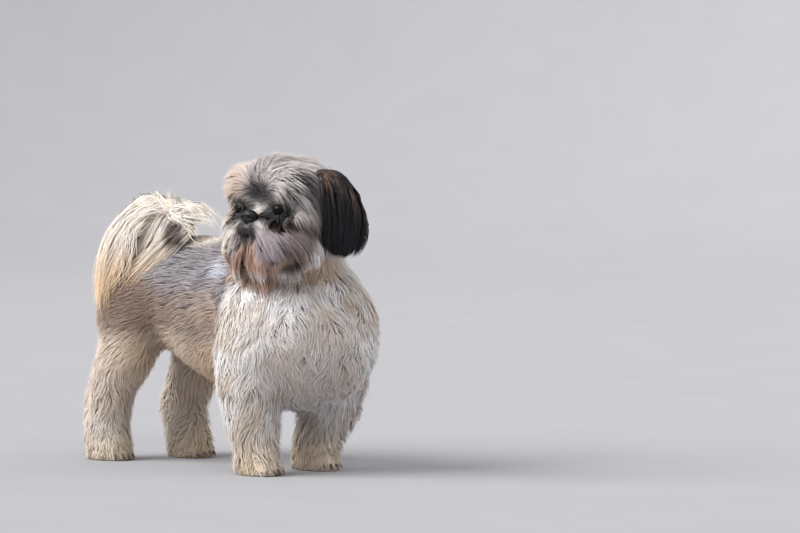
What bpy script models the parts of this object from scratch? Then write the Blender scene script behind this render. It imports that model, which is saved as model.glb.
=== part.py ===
"""A standing Shih Tzu in a short clip, life size, its head turned to its right and its tail carried over its back.

Metres, +Z up, the floor at Z = 0. The body faces -Y, so its left side is +X. Every solid is drawn to the tips
of the coat. The body is lofted from a few sections, welded into one flesh, and then parted with thin cuts into
the pieces that a person would name.
"""

import math

import bmesh
import bpy
import numpy as np
from mathutils import Matrix, Vector

# Driving sizes
GAP = 0.0004  # what is left between two pieces that touch
VOXEL = 0.0045  # grain of the weld that joins the lofts
FLESH_TRIANGLES = 3000
TAIL_TRIANGLES = 560
EAR_TRIANGLES = 200
CUT_SIDES = 14  # sides of the round cutters that part the flesh
BELOW_FLOOR = 0.02  # the legs are lofted this far down and cut off level with the floor
ORIGIN_SHIFT = Vector((-0.0068, 0.0183, 0.0))  # brings the middle of the whole box to the origin

# The head, whose own frame has +X to its left, -Y to its nose and +Z up from the middle of the skull
HEAD_PLACE = Vector((-0.022, -0.142, 0.3175))
HEAD_TURN = math.radians(-85)
HEAD_NOD = math.radians(0)
HEAD_FRAME = Matrix.Translation(HEAD_PLACE) @ Matrix.Rotation(HEAD_TURN, 4, "Z") @ Matrix.Rotation(HEAD_NOD, 4, "X")

EYE_RADIUS = 0.0094
EYE_PLACE = Vector((0.0308, -0.0445, 0.0010))  # the left one, in the head's frame
EYE_HOLLOW = Vector((0.0150, 0.0180, 0.0130))  # the short hair round the eye leaves it clear
NOSE_PLACE = Vector((0.0, -0.0665, -0.0070))
NOSE_SIZE = Vector((0.0125, 0.0085, 0.0100))

COATS = {
    "white": (0.80, 0.77, 0.73, 1.0),
    "sable": (0.47, 0.40, 0.35, 1.0),
    "cream": (0.72, 0.63, 0.53, 1.0),
    "silver": (0.52, 0.49, 0.49, 1.0),
    "rust": (0.42, 0.27, 0.19, 1.0),
    "black": (0.03, 0.03, 0.04, 1.0),
}


def smooth_rows(rows, count):
    """count rows along the smooth (Catmull-Rom) curve through these rows of numbers."""
    rows = np.array(rows, float)
    padded = np.vstack([2 * rows[0] - rows[1], rows, 2 * rows[-1] - rows[-2]])
    place = np.linspace(0, len(rows) - 1, count)
    first = np.minimum(place.astype(int), len(rows) - 2)
    t = (place - first)[:, None]
    a, b, c, d = (padded[first + i] for i in range(4))
    return 0.5 * (2 * b + (c - a) * t + (2 * a - 5 * b + 4 * c - d) * t**2 + (3 * b - a - 3 * c + d) * t**3)


def loft(name, sections, side, rings=16, sides=24, frame=None):
    """A closed skin through elliptical rings across a path.

    Each section is x, y, z of its middle, its half width along side, and its half depth across it.
    """
    rows = smooth_rows(sections, rings)
    middles = rows[:, :3]
    ahead = np.gradient(middles, axis=0)
    ahead /= np.linalg.norm(ahead, axis=1)[:, None]
    across = np.array(side, float) - ahead * (ahead @ np.array(side, float))[:, None]
    across /= np.linalg.norm(across, axis=1)[:, None]
    deep = np.cross(ahead, across)
    mesh = bpy.data.meshes.new(name)
    shape = bmesh.new()
    turns = [2 * math.pi * k / sides for k in range(sides)]
    loops = []
    for middle, u, v, (wide, thick) in zip(middles, across, deep, np.maximum(rows[:, 3:5], 0.002)):
        ring = [shape.verts.new(middle + u * wide * math.cos(a) + v * thick * math.sin(a)) for a in turns]
        loops.append(ring)
    for low, high in zip(loops, loops[1:]):
        for k in range(sides):
            shape.faces.new((low[k], low[(k + 1) % sides], high[(k + 1) % sides], high[k]))
    shape.faces.new(loops[0][::-1])
    shape.faces.new(loops[-1])
    if frame is not None:
        shape.transform(frame)
    bmesh.ops.recalc_face_normals(shape, faces=shape.faces)
    shape.to_mesh(mesh)
    shape.free()
    return mesh


def ball(name, middle, radii, frame=None, lean=(0.0, 0.0, 0.0), fineness=16):
    """An ellipsoid. lean turns it about X, Y and Z in degrees before it is placed."""
    turn = Matrix.Rotation(math.radians(lean[2]), 4, "Z")
    turn @= Matrix.Rotation(math.radians(lean[1]), 4, "Y") @ Matrix.Rotation(math.radians(lean[0]), 4, "X")
    place = Matrix.Translation(Vector(middle)) @ turn @ Matrix.Diagonal((*radii, 1.0))
    mesh = bpy.data.meshes.new(name)
    shape = bmesh.new()
    bmesh.ops.create_uvsphere(shape, u_segments=fineness, v_segments=fineness // 2, radius=1.0)
    shape.transform(frame @ place if frame is not None else place)
    shape.to_mesh(mesh)
    shape.free()
    return mesh


def joined(name, meshes):
    """One mesh that holds all of these."""
    shape = bmesh.new()
    for mesh in meshes:
        shape.from_mesh(mesh)
        bpy.data.meshes.remove(mesh)
    whole = bpy.data.meshes.new(name)
    shape.to_mesh(whole)
    shape.free()
    return whole


def with_modifiers(mesh, *settings):
    """The mesh after these modifiers, each given as its type and its properties."""
    holder = bpy.data.objects.new("holder", mesh)
    bpy.context.scene.collection.objects.link(holder)
    for kind, properties in settings:
        modifier = holder.modifiers.new(kind.title(), kind)
        for key, value in properties.items():
            setattr(modifier, key, value)
    bpy.context.view_layer.update()
    made = bpy.data.meshes.new_from_object(holder.evaluated_get(bpy.context.evaluated_depsgraph_get()))
    bpy.data.objects.remove(holder)
    return made


def welded(mesh, triangles, smoothing=6):
    """The union of the mesh's closed shells as one smooth surface of about so many triangles."""
    grown = with_modifiers(
        mesh,
        ("REMESH", {"mode": "VOXEL", "voxel_size": VOXEL}),
        ("SMOOTH", {"factor": 0.5, "iterations": smoothing}),
        ("TRIANGULATE", {}),
    )
    share = min(1.0, triangles / len(grown.polygons))
    return with_modifiers(grown, ("DECIMATE", {"ratio": share}), ("TRIANGULATE", {}))


def combined(mesh, operation, other):
    """The Boolean of two meshes, less any crumb that it leaves."""
    tool = bpy.data.objects.new("tool", other)
    bpy.context.scene.collection.objects.link(tool)
    tool.hide_render = True
    made = with_modifiers(mesh, ("BOOLEAN", {"operation": operation, "object": tool, "solver": "EXACT"}))
    bpy.data.objects.remove(tool)
    return largest(made)


def largest(mesh):
    """The mesh with only the biggest of its separate bodies."""
    shape = bmesh.new()
    shape.from_mesh(mesh)
    bmesh.ops.triangulate(shape, faces=shape.faces)
    waiting = set(shape.verts)
    bodies = []
    while waiting:
        body, edge = set(), [waiting.pop()]
        while edge:
            vertex = edge.pop()
            body.add(vertex)
            near = {link.other_vert(vertex) for link in vertex.link_edges} & waiting
            waiting -= near
            edge.extend(near)
        bodies.append(body)
    bodies.sort(key=len)
    for body in bodies[:-1]:
        bmesh.ops.delete(shape, geom=list(body), context="VERTS")
    shape.to_mesh(mesh)
    shape.free()
    return mesh


def swollen(mesh, by=GAP):
    """A copy grown outwards along its normals."""
    copy = mesh.copy()
    return with_modifiers(copy, ("DISPLACE", {"strength": by, "mid_level": 0.0, "direction": "NORMAL"}))


def parted(mesh, middle, radii, frame=None, lean=(0.0, 0.0, 0.0)):
    """(what lies inside an ellipsoid, what lies outside it), with the gap between them."""
    wider = [r + GAP for r in radii]
    inside = combined(mesh.copy(), "INTERSECT", ball("in", middle, radii, frame, lean, CUT_SIDES))
    outside = combined(mesh.copy(), "DIFFERENCE", ball("out", middle, wider, frame, lean, CUT_SIDES))
    return inside, outside


def floor_block(size=1.0):
    """A block whose top is the floor."""
    mesh = bpy.data.meshes.new("floor")
    shape = bmesh.new()
    bmesh.ops.create_cube(shape, size=size, matrix=Matrix.Translation((0, 0, -size / 2)))
    shape.to_mesh(mesh)
    shape.free()
    return mesh


def trunk_shape():
    """Chest, barrel and rump: sections from the prosternum back to the buttocks."""
    sections = [
        # x, y, z of the middle, half width, half height
        (0.012, -0.209, 0.190, 0.024, 0.034),
        (0.013, -0.194, 0.185, 0.064, 0.068),
        (0.012, -0.165, 0.178, 0.087, 0.092),
        (0.009, -0.120, 0.178, 0.091, 0.104),
        (0.005, -0.070, 0.188, 0.083, 0.098),
        (0.000, -0.010, 0.195, 0.077, 0.090),
        (-0.002, 0.045, 0.206, 0.073, 0.078),
        (-0.001, 0.095, 0.212, 0.073, 0.070),
        (0.000, 0.140, 0.210, 0.070, 0.066),
        (0.000, 0.172, 0.207, 0.058, 0.054),
        (0.000, 0.192, 0.204, 0.026, 0.028),
    ]
    return loft("trunk", sections, (1, 0, 0), rings=30)


def neck_shape():
    """The neck climbs from the withers and bends to the right under the head."""
    sections = [
        (0.008, -0.080, 0.200, 0.080, 0.070),
        (0.006, -0.108, 0.240, 0.073, 0.066),
        (-0.002, -0.130, 0.275, 0.062, 0.060),
        (-0.014, -0.142, 0.308, 0.050, 0.050),
    ]
    return loft("neck", sections, (1, 0, 0), rings=12)


def fore_leg(side, foot_x, foot_y, elbow_x, elbow_y):
    """A foreleg from shoulder to floor. side is -1 for the right one."""
    sections = [
        (side * 0.044, -0.118, 0.236, 0.022, 0.034),
        (side * 0.056, -0.120, 0.205, 0.032, 0.046),
        (side * 0.062, -0.120, 0.165, 0.037, 0.050),
        (side * elbow_x, elbow_y, 0.115, 0.037, 0.043),
        (side * (0.55 * elbow_x + 0.45 * foot_x), 0.55 * elbow_y + 0.45 * foot_y, 0.070, 0.034, 0.037),
        (side * foot_x, foot_y, 0.030, 0.027, 0.032),
        (side * foot_x, foot_y - 0.005, 0.008, 0.028, 0.036),
        (side * foot_x, foot_y - 0.005, -BELOW_FLOOR, 0.025, 0.033),
    ]
    return loft("fore_leg", sections, (1, 0, 0), rings=18)


def hind_leg(side, foot_x, foot_y, stifle_y, hock_y):
    """A hind leg from hip to floor: thigh, stifle, hock and foot."""
    sections = [
        (side * 0.040, 0.125, 0.225, 0.034, 0.058),
        (side * 0.050, 0.125, 0.180, 0.034, 0.056),
        (side * 0.055, stifle_y, 0.142, 0.033, 0.047),
        (side * 0.056, 0.4 * stifle_y + 0.6 * hock_y, 0.104, 0.030, 0.035),
        (side * (0.056 + foot_x) / 2, hock_y, 0.062, 0.028, 0.034),
        (side * foot_x, foot_y + 0.004, 0.030, 0.027, 0.032),
        (side * foot_x, foot_y, 0.008, 0.028, 0.036),
        (side * foot_x, foot_y, -BELOW_FLOOR, 0.026, 0.034),
    ]
    return loft("hind_leg", sections, (1, 0, 0), rings=20)


def head_shape():
    """Skull, brow, muzzle, moustache, beard and cheeks, in the head's own frame."""
    pieces = [
        ball("skull", (0, 0.008, 0.005), (0.065, 0.058, 0.062), HEAD_FRAME),
        ball("brow", (0, -0.024, 0.034), (0.052, 0.034, 0.034), HEAD_FRAME),
        ball("muzzle", (0, -0.052, -0.020), (0.025, 0.027, 0.022), HEAD_FRAME),
        ball("beard", (0, -0.038, -0.058), (0.036, 0.034, 0.034), HEAD_FRAME, (20, 0, 0)),
        ball("throat", (0, -0.008, -0.050), (0.046, 0.044, 0.036), HEAD_FRAME),
    ]
    for side in (-1, 1):
        pieces += [
            ball("moustache", (side * 0.034, -0.046, -0.034), (0.028, 0.026, 0.034), HEAD_FRAME),
            ball("cheek", (side * 0.046, -0.024, -0.026), (0.028, 0.038, 0.046), HEAD_FRAME),
            ball("brow_side", (side * 0.043, -0.030, 0.026), (0.030, 0.029, 0.034), HEAD_FRAME),
        ]
    return pieces


def ear_shape(side):
    """An ear that hangs from beside the crown, broad and rounded at the end."""
    sections = [
        (side * 0.046, 0.004, 0.048, 0.010, 0.009),
        (side * 0.060, 0.008, 0.034, 0.025, 0.013),
        (side * 0.073, 0.013, 0.010, 0.034, 0.015),
        (side * 0.078, 0.016, -0.016, 0.037, 0.016),
        (side * 0.077, 0.016, -0.038, 0.034, 0.014),
        (side * 0.075, 0.014, -0.052, 0.018, 0.008),
    ]
    return loft("ear", sections, (0, 1, 0), rings=16, frame=HEAD_FRAME)


def tail_shape():
    """The tail rises from the croup, arches over the back, and its plume falls over the right haunch."""
    arch = [
        (0.000, 0.145, 0.250, 0.026, 0.024),
        (0.000, 0.152, 0.283, 0.030, 0.026),
        (-0.004, 0.137, 0.303, 0.036, 0.028),
        (-0.010, 0.100, 0.308, 0.038, 0.028),
        (-0.014, 0.058, 0.302, 0.034, 0.024),
        (-0.014, 0.018, 0.292, 0.016, 0.013),
    ]
    plume = [
        (-0.020, 0.098, 0.303, 0.030, 0.022),
        (-0.034, 0.120, 0.288, 0.044, 0.028),
        (-0.050, 0.132, 0.260, 0.049, 0.031),
        (-0.058, 0.137, 0.225, 0.043, 0.029),
        (-0.062, 0.141, 0.190, 0.035, 0.024),
        (-0.064, 0.144, 0.162, 0.018, 0.012),
    ]
    rear = [
        (0.004, 0.142, 0.303, 0.030, 0.022),
        (0.000, 0.157, 0.283, 0.042, 0.024),
        (-0.012, 0.169, 0.250, 0.046, 0.026),
        (-0.024, 0.174, 0.214, 0.040, 0.022),
        (-0.034, 0.178, 0.176, 0.018, 0.010),
    ]
    return [
        loft("arch", arch, (1, 0, 0), rings=18),
        loft("plume", plume, (0, 1, 0), rings=18),
        loft("rear", rear, (1, 0, 0), rings=16),
    ]


def material(name, colour, roughness=0.8):
    made = bpy.data.materials.new(name)
    made.use_nodes = True
    shader = made.node_tree.nodes["Principled BSDF"]
    shader.inputs["Base Color"].default_value = colour
    shader.inputs["Roughness"].default_value = roughness
    return made


def piece(name, mesh, finish):
    """Shows the mesh as a named part with its finish."""
    mesh.name = name
    mesh.transform(Matrix.Translation(ORIGIN_SHIFT))
    mesh.shade_smooth()
    mesh.materials.clear()
    mesh.materials.append(finish)
    made = bpy.data.objects.new(name, mesh)
    bpy.context.scene.collection.objects.link(made)
    return made


def build():
    for thing in list(bpy.data.objects):
        bpy.data.objects.remove(thing)
    finish = {name: material(f"{name}_coat", colour) for name, colour in COATS.items()}
    leather = material("nose_leather", (0.02, 0.02, 0.022, 1.0), 0.35)
    glassy = material("eye", (0.03, 0.018, 0.012, 1.0), 0.1)

    flesh = [trunk_shape(), neck_shape(), *head_shape()]
    flesh += [fore_leg(-1, 0.055, -0.122, 0.062, -0.116), fore_leg(1, 0.046, -0.112, 0.077, -0.124)]
    flesh += [hind_leg(-1, 0.055, 0.160, 0.122, 0.164), hind_leg(1, 0.047, 0.124, 0.112, 0.144)]
    whole = welded(joined("flesh", flesh), FLESH_TRIANGLES)
    whole = combined(whole, "DIFFERENCE", floor_block())

    tail = welded(joined("tail", tail_shape()), TAIL_TRIANGLES)
    tail = combined(tail, "DIFFERENCE", swollen(whole))
    piece("tail", tail, finish["cream"])
    for side, name in ((-1, "right"), (1, "left")):
        ear = welded(ear_shape(side), EAR_TRIANGLES, 3)
        ear = combined(ear, "DIFFERENCE", swollen(whole))
        piece(f"ear_{name}", ear, finish["black"])

    eye_radii = Vector((EYE_RADIUS,) * 3)
    for side, name in ((-1, "right"), (1, "left")):
        place = Vector((side * EYE_PLACE.x, EYE_PLACE.y, EYE_PLACE.z))
        piece(f"eye_{name}", ball("eye", place, eye_radii, HEAD_FRAME), glassy)
        hollow = place + Vector((side * 0.006, -0.020, 0))
        whole = combined(whole, "DIFFERENCE", ball("hollow", hollow, EYE_HOLLOW, HEAD_FRAME))
        whole = combined(whole, "DIFFERENCE", ball("socket", place, eye_radii * 1.05, HEAD_FRAME))
    piece("nose", ball("nose", NOSE_PLACE, NOSE_SIZE, HEAD_FRAME), leather)
    nose_bed = NOSE_SIZE + Vector((GAP,) * 3)
    whole = combined(whole, "DIFFERENCE", ball("bed", NOSE_PLACE, nose_bed, HEAD_FRAME))

    head, whole = parted(whole, (0, -0.006, 0.004), (0.092, 0.092, 0.102), HEAD_FRAME)
    jaw, head = parted(head, (0, -0.048, -0.082), (0.046, 0.044, 0.046), HEAD_FRAME)
    piece("head", head, finish["silver"])
    piece("jaw", jaw, finish["rust"])
    neck, whole = parted(whole, (0.002, -0.122, 0.285), (0.100, 0.078, 0.066), None, (35, 0, 0))
    piece("neck", neck, finish["white"])
    legs = {
        "foreleg_right": ((-0.060, -0.119, 0.045), (0.052, 0.062, 0.105)),
        "foreleg_left": ((0.058, -0.116, 0.045), (0.052, 0.062, 0.105)),
        "hindleg_right": ((-0.058, 0.140, 0.060), (0.055, 0.085, 0.120)),
        "hindleg_left": ((0.058, 0.126, 0.060), (0.055, 0.080, 0.120)),
    }
    for name, (middle, radii) in legs.items():
        leg, whole = parted(whole, middle, radii)
        paw, leg = parted(leg, (middle[0], middle[1], 0.0), (0.060, 0.075, 0.030))
        piece(name, leg, finish["white"])
        piece(name.replace("leg", "paw"), paw, finish["white"])
    piece("trunk", whole, finish["sable"])


build()
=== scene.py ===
"""A standing Shih Tzu, life size: one skin, a coat of solid locks, eyes, nose and claws.

Metres, +Z up, the floor at Z = 0. The body faces -Y, its left side is +X, and the head turns to its right.
Tables of places and sizes that go through mm() are in millimetres.
"""

import math

import bmesh
import bpy
import numpy as np
from mathutils import Matrix, Vector


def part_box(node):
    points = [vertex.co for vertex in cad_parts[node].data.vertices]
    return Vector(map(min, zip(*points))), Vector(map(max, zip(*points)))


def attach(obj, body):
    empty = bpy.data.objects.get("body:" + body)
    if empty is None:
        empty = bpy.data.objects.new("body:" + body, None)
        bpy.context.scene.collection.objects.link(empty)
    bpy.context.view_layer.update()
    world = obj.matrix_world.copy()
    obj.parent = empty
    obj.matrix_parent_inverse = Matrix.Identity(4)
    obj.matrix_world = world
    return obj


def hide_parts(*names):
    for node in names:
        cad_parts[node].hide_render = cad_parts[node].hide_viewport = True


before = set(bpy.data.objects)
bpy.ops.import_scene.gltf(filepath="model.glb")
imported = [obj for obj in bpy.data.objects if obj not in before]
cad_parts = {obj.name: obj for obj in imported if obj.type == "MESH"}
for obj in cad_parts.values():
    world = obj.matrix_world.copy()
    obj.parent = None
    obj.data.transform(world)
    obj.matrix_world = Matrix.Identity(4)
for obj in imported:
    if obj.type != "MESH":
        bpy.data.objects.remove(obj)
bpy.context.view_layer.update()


# ---------------------------------------------------------------- numbers on whole arrays

def mm(values):
    """Millimetres, as metres."""
    return np.array(values, float) / 1000


def unit(vectors):
    return vectors / np.maximum(np.linalg.norm(vectors, axis=-1, keepdims=True), 1e-9)


def ease(value, start, end):
    """0 before start, 1 after end, smooth between them; start may be the larger."""
    t = np.clip((value - start) / (end - start), 0, 1)
    return t * t * (3 - 2 * t)


def within(points, middle, radii, soft=0.35):
    """1 inside an ellipsoid and 0 outside it, with a soft edge."""
    far = np.linalg.norm((points - np.array(middle)) / np.array(radii), axis=-1)
    return ease(far, 1 + soft, 1 - soft)


def drift(points, size, seed):
    """Smooth random vectors: eight sine waves, each about size long and in a direction of its own."""
    chance = np.random.default_rng(seed)
    waves = unit(chance.normal(size=(8, 3))) * (2 * math.pi / size) * chance.uniform(0.7, 1.5, (8, 1))
    phases = chance.uniform(0, 2 * math.pi, (8, 3))
    return np.sin((points @ waves.T)[..., None] + phases).sum(axis=-2) / 2


def along_path(rows, count):
    """count rows spaced evenly by number along the smooth (Catmull-Rom) curve through these rows."""
    rows = np.array(rows, float)
    padded = np.vstack([2 * rows[0] - rows[1], rows, 2 * rows[-1] - rows[-2]])
    place = np.linspace(0, len(rows) - 1, count)
    first = np.minimum(place.astype(int), len(rows) - 2)
    t = (place - first)[:, None]
    a, b, c, d = (padded[first + i] for i in range(4))
    return 0.5 * (2 * b + (c - a) * t + (2 * a - 5 * b + 4 * c - d) * t**2 + (3 * b - a - 3 * c + d) * t**3)


def turns(count):
    """This many angles, spaced evenly round a circle."""
    return np.arange(count) * 2 * math.pi / count


# ---------------------------------------------------------------- places that the frame gives

LIMBS = [f"{part}_{side}" for part in ("foreleg", "forepaw", "hindleg", "hindpaw")
         for side in ("left", "right")]
SHELL_NODES = ["trunk", "neck", *LIMBS, "head", "jaw"]  # these give the outline of the coat
EYE_PLACE = np.array([0.0308, -0.0445, 0.0010])  # the left eye, in the head's frame
EYE_GAZE = np.array([0.26, -1.0, 0.06])  # the way the left eye looks
FEET = mm([(-61.8, -108.7), (39.2, -98.7), (-61.8, 178.3), (40.2, 142.3)])  # right and left, forelegs first
TOES = (-1.5, -0.5, 0.5, 1.5)  # each toe's place across its foot, in toes
TAIL_CORE = mm([(-7, 158, 235), (-7, 168, 266), (-9, 158, 288), (-14, 128, 296), (-18, 94, 295),
                (-20, 62, 290)])


def middle_of(node):
    low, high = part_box(node)
    return (low + high) / 2


def head_frame():
    """The head's own axes: +X from the right eye to the left one, +Z up, -Y to the nose."""
    left, right = middle_of("eye_left"), middle_of("eye_right")
    across = (left - right).normalized()
    back = Vector((0, 0, 1)).cross(across).normalized()
    turn = Matrix((across, back, across.cross(back))).transposed().to_4x4()
    middle, forward = Matrix.Translation((left + right) / 2), Matrix.Translation((0, *-EYE_PLACE[1:]))
    return middle @ turn @ forward


HEAD = head_frame()
TO_WORLD, TO_HEAD = np.array(HEAD), np.array(HEAD.inverted())
EYE_RADIUS = (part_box("eye_left")[1].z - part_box("eye_left")[0].z) / 2


def to_world(points):
    """Points in the head's frame, moved to the world."""
    return points @ TO_WORLD[:3, :3].T + TO_WORLD[:3, 3]


def to_head(points):
    """World points, moved to the head's frame."""
    return points @ TO_HEAD[:3, :3].T + TO_HEAD[:3, 3]


def head_lies(directions):
    """Directions in the head's frame, turned to the world."""
    return directions @ TO_WORLD[:3, :3].T


# ---------------------------------------------------------------- meshes

TURNED = [0, 3, 2, 1]  # the corners of a quad that faces the other way


def linked(name, data):
    """A new object of the scene that holds this data."""
    made = bpy.data.objects.new(name, data)
    bpy.context.scene.collection.objects.link(made)
    return made


def mesh_of(name, points, quads, triangles=()):
    """A mesh from whole arrays of points, quads and triangles."""
    quads = np.asarray(quads, int).reshape(-1, 4)
    triangles = np.asarray(triangles, int).reshape(-1, 3)
    corners = np.concatenate([quads.ravel(), triangles.ravel()]).astype(np.int32)
    starts = np.concatenate([np.arange(len(quads)) * 4, len(quads) * 4 + np.arange(len(triangles)) * 3])
    mesh = bpy.data.meshes.new(name)
    mesh.vertices.add(len(points))
    mesh.vertices.foreach_set("co", np.asarray(points, np.float32).ravel())
    mesh.loops.add(len(corners))
    mesh.loops.foreach_set("vertex_index", corners)
    mesh.polygons.add(len(starts))
    mesh.polygons.foreach_set("loop_start", starts.astype(np.int32))
    mesh.update(calc_edges=True)
    return mesh


def belts(rings, sides, start=0):
    """The quads between each ring of points and the next. Points are numbered ring by ring from start."""
    ring, side = np.meshgrid(np.arange(rings - 1), np.arange(sides), indexing="ij")
    here = start + ring * sides + side
    near = start + ring * sides + (side + 1) % sides
    return np.stack([here, near, near + sides, here + sides], -1).reshape(-1, 4)


def shell(first, rings, last, head=False):
    """A closed surface of rings of points, with a pole before the first ring and after the last."""
    count, sides = rings.shape[:2]
    points = np.vstack([first, rings.reshape(-1, 3), last])
    one, two = 1 + np.arange(sides), 1 + (np.arange(sides) + 1) % sides
    to_last = (count - 1) * sides
    ends = np.vstack([np.stack([two, one, one * 0], -1),
                      np.stack([one + to_last, two + to_last, one * 0 + len(points) - 1], -1)])
    return mesh_of("shell", to_world(points) if head else points, belts(count, sides, 1), ends)


def tube(middles, wides, deeps, across, sides=28, head=False):
    """A closed shell along a path: an ellipse of half width wides and half depth deeps stands square to the
    path at each middle, turned so that its width lies along across. Its two ends are poles.
    """
    middles, across = np.asarray(middles, float), np.asarray(across, float)
    ahead = unit(np.gradient(middles, axis=0))
    u = unit(across - ahead * (ahead @ across)[:, None])
    v = np.cross(ahead, u)
    turn = turns(sides)[None, :, None]
    ring = (np.cos(turn) * (u * wides[:, None])[:, None] + np.sin(turn) * (v * deeps[:, None])[:, None]
            + middles[:, None])
    return shell(middles[0], ring[1:-1], middles[-1], head)


def ball(middle, radii, head=True, rings=18):
    """An ellipsoid: a tube whose path runs up its middle, and whose radii follow a half circle."""
    angle = np.linspace(0, math.pi, rings)
    path = middle + np.stack([angle * 0, angle * 0, -np.cos(angle) * radii[2]], -1)
    return tube(path, np.sin(angle) * radii[0], np.sin(angle) * radii[1], (1, 0, 0), head=head)


def limb(rows, across=(1, 0, 0), rings=26, head=False):
    """A tube through rows of x, y, z, half width and half depth, whose ends are rounded off."""
    rows = along_path(rows, rings)
    round_end = np.sqrt(np.clip(1 - np.linspace(-1, 1, rings) ** 8, 0, 1))
    return tube(rows[:, :3], rows[:, 3] * round_end, rows[:, 4] * round_end, across, head=head)


def joined(meshes, change=None):
    """One new mesh that holds all of these, after this change to it as a bmesh."""
    shape = bmesh.new()
    for mesh in meshes:
        shape.from_mesh(mesh)
    if change:
        change(shape)
    whole = bpy.data.meshes.new("joined")
    shape.to_mesh(whole)
    shape.free()
    return whole


def outward(mesh):
    """The mesh with its faces turned outwards."""
    return joined([mesh], lambda shape: bmesh.ops.recalc_face_normals(shape, faces=shape.faces))


def modified(mesh, *settings):
    """The mesh after these modifiers, each given as its type and its properties."""
    holder = linked("holder", mesh)
    for kind, properties in settings:
        modifier = holder.modifiers.new(kind.title(), kind)
        for key, value in properties.items():
            setattr(modifier, key, value)
    bpy.context.view_layer.update()
    made = bpy.data.meshes.new_from_object(holder.evaluated_get(bpy.context.evaluated_depsgraph_get()))
    bpy.data.objects.remove(holder)
    return made


def points_of(mesh, what="co"):
    """The places of the mesh's points, or their normals."""
    values = np.empty(len(mesh.vertices) * 3)
    mesh.vertices.foreach_get(what, values)
    return values.reshape(-1, 3)


def moved(mesh, points):
    """The mesh with its points moved to these places."""
    mesh.vertices.foreach_set("co", points.astype(np.float32).ravel())
    mesh.update()
    return mesh


def coat_outline():
    """The outside of the coat as one shell: each node is merged and grown by 3 mm, so that the gaps between
    neighbours close, all are welded, and the whole is drawn in again.
    """
    grown = []
    for name in SHELL_NODES:
        merged = joined([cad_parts[name].data],
                        lambda shape: bmesh.ops.remove_doubles(shape, verts=shape.verts, dist=1e-6))
        grown.append(modified(merged, ("DISPLACE", {"strength": 0.0030, "mid_level": 0.0})))
    return modified(joined(grown), ("REMESH", {"mode": "VOXEL", "voxel_size": 0.003}),
                    ("SMOOTH", {"factor": 0.5, "iterations": 5}),
                    ("DISPLACE", {"strength": -0.0024, "mid_level": 0.0}))


class Field:
    """How far a point is from a closed shell, less than 0 inside it, and which way that grows: both worked
    out at the corners of a grid and read between them.
    """

    def __init__(self, shell, step=0.004, margin=0.03):
        points = points_of(shell)
        low, high = points.min(0) - margin, points.max(0) + margin
        axes = [np.arange(a, b, step) for a, b in zip(low, high)]
        corners = np.stack(np.meshgrid(*axes, indexing="ij"), -1)
        target = linked("target", shell)
        flat = corners.reshape(-1, 3)
        gone = {}
        for mode in ("ON_SURFACE", "OUTSIDE"):
            settings = {"target": target, "wrap_method": "NEAREST_SURFACEPOINT", "wrap_mode": mode}
            found = points_of(modified(mesh_of("cloud", flat, ()), ("SHRINKWRAP", settings)))
            gone[mode] = np.linalg.norm(found - flat, axis=1).reshape(corners.shape[:3])
        bpy.data.objects.remove(target)
        far = gone["ON_SURFACE"]
        clear = far > 0.51 * step
        inside = np.where(clear, ~self.flooded(clear), gone["OUTSIDE"] > 1e-6)
        value = np.where(inside, -far, far)
        slope = np.stack(np.gradient(value, step), -1)
        self.low, self.step = low, step
        self.table = np.concatenate([value[..., None], slope], -1)

    @staticmethod
    def flooded(clear):
        """The corners that can be reached from the edge of the grid by steps through clear ones."""
        reached = np.ones_like(clear)
        reached[1:-1, 1:-1, 1:-1] = False
        count = 0
        while reached.sum() > count:
            count = reached.sum()
            for axis in range(3):
                for way in (1, -1):
                    reached |= clear & np.roll(reached, way, axis)
        return reached

    def at(self, points):
        """(distance, unit direction outwards) at each point, from the eight corners round it."""
        place = (points - self.low) / self.step
        first = np.clip(np.floor(place).astype(int), 0, np.array(self.table.shape[:3]) - 2)
        part = np.clip(place - first, 0, 1)
        total = 0
        for corner in np.ndindex(2, 2, 2):
            weight = np.prod(np.where(corner, part, 1 - part), axis=-1)
            total = total + self.table[tuple(np.moveaxis(first + corner, -1, 0))] * weight[..., None]
        return total[..., 0], unit(total[..., 1:])

    def way_out(self, points, directions, deepest=0.06):
        """How far each point has to go this way to leave the shell, up to deepest."""
        steps = np.arange(0, deepest, 0.0015)
        inside = self.at(points[:, None] + directions[:, None] * steps[None, :, None])[0] < 0
        return np.where(inside.all(axis=1), deepest, steps[np.argmin(inside, axis=1)])


def shown(name, mesh, finish, replaced=()):
    """Puts a mesh in the scene as a finished piece."""
    mesh.name = name
    mesh.materials.clear()
    mesh.materials.append(finish)
    mesh.shade_smooth()
    made = linked(name, mesh)
    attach(made, "root")
    if replaced:
        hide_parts(*replaced)
    return made


# ---------------------------------------------------------------- the skin

def coat_depth(points):
    """How far the skin lies under the coat's tips: most at the neck and the beard, least at the feet."""
    y, z = points[:, 1], points[:, 2]
    depth = 0.0078 - 0.001 * ease(y, -0.06, -0.13) * ease(z, 0.10, 0.15)
    depth = depth + 0.004 * ease(z, 0.205, 0.250) * ease(y, -0.03, -0.07)
    depth = depth + 0.004 * within(to_head(points), (0, -0.03, -0.05), (0.06, 0.05, 0.04), 0.5)
    return depth * (0.50 + 0.50 * ease(z, 0.012, 0.045))


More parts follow.
